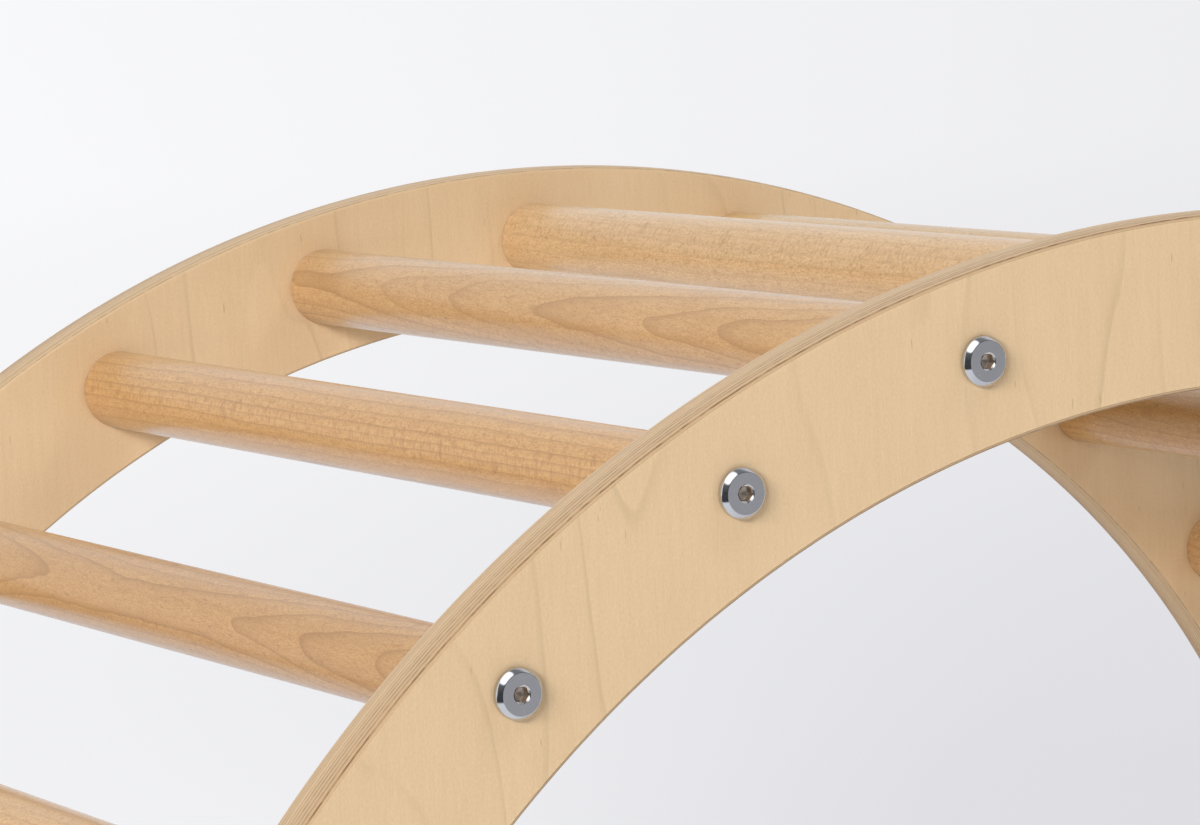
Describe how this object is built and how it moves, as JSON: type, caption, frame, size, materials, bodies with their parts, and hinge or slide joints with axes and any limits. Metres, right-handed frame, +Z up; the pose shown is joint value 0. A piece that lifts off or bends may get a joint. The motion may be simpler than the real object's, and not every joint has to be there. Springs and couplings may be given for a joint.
{
  "type": "climbing arch and rocker",
  "caption": "Wooden climbing arch for small children: two curved plywood side panels joined by round rungs on bolts; turned over, it rocks on its outer curve.",
  "frame": {"origin": "on the floor, under the middle of the arch and midway between the two side panels", "axes": "+X along the arch's length, +Y from the front panel to the rear panel, +Z up"},
  "size_m": [0.9738, 0.5222, 0.45],
  "materials": {
    "birch_plywood": "clear satin lacquer",
    "beech": "clear satin lacquer",
    "bolt_chrome": "polished",
    "insert_brass": "machined"
  },
  "bodies": {
    "root": {"front_panel": "birch_plywood", "rear_panel": "birch_plywood", "rung_01": "beech", "rung_02": "beech", "rung_03": "beech", "rung_04": "beech", "rung_05": "beech", "rung_06": "beech", "rung_07": "beech", "rung_08": "beech", "rung_09": "beech", "rung_10": "beech", "rung_11": "beech", "rung_12": "beech", "rung_13": "beech", "front_bolt_01": "bolt_chrome", "front_bolt_02": "bolt_chrome", "front_bolt_03": "bolt_chrome", "front_bolt_04": "bolt_chrome", "front_bolt_05": "bolt_chrome", "front_bolt_06": "bolt_chrome", "front_bolt_07": "bolt_chrome", "front_bolt_08": "bolt_chrome", "front_bolt_09": "bolt_chrome", "front_bolt_10": "bolt_chrome", "front_bolt_11": "bolt_chrome", "front_bolt_12": "bolt_chrome", "front_bolt_13": "bolt_chrome", "rear_bolt_01": "bolt_chrome", "rear_bolt_02": "bolt_chrome", "rear_bolt_03": "bolt_chrome", "rear_bolt_04": "bolt_chrome", "rear_bolt_05": "bolt_chrome", "rear_bolt_06": "bolt_chrome", "rear_bolt_07": "bolt_chrome", "rear_bolt_08": "bolt_chrome", "rear_bolt_09": "bolt_chrome", "rear_bolt_10": "bolt_chrome", "rear_bolt_11": "bolt_chrome", "rear_bolt_12": "bolt_chrome", "rear_bolt_13": "bolt_chrome", "front_inserts": "insert_brass", "rear_inserts": "insert_brass"}
  },
  "joints": []
}
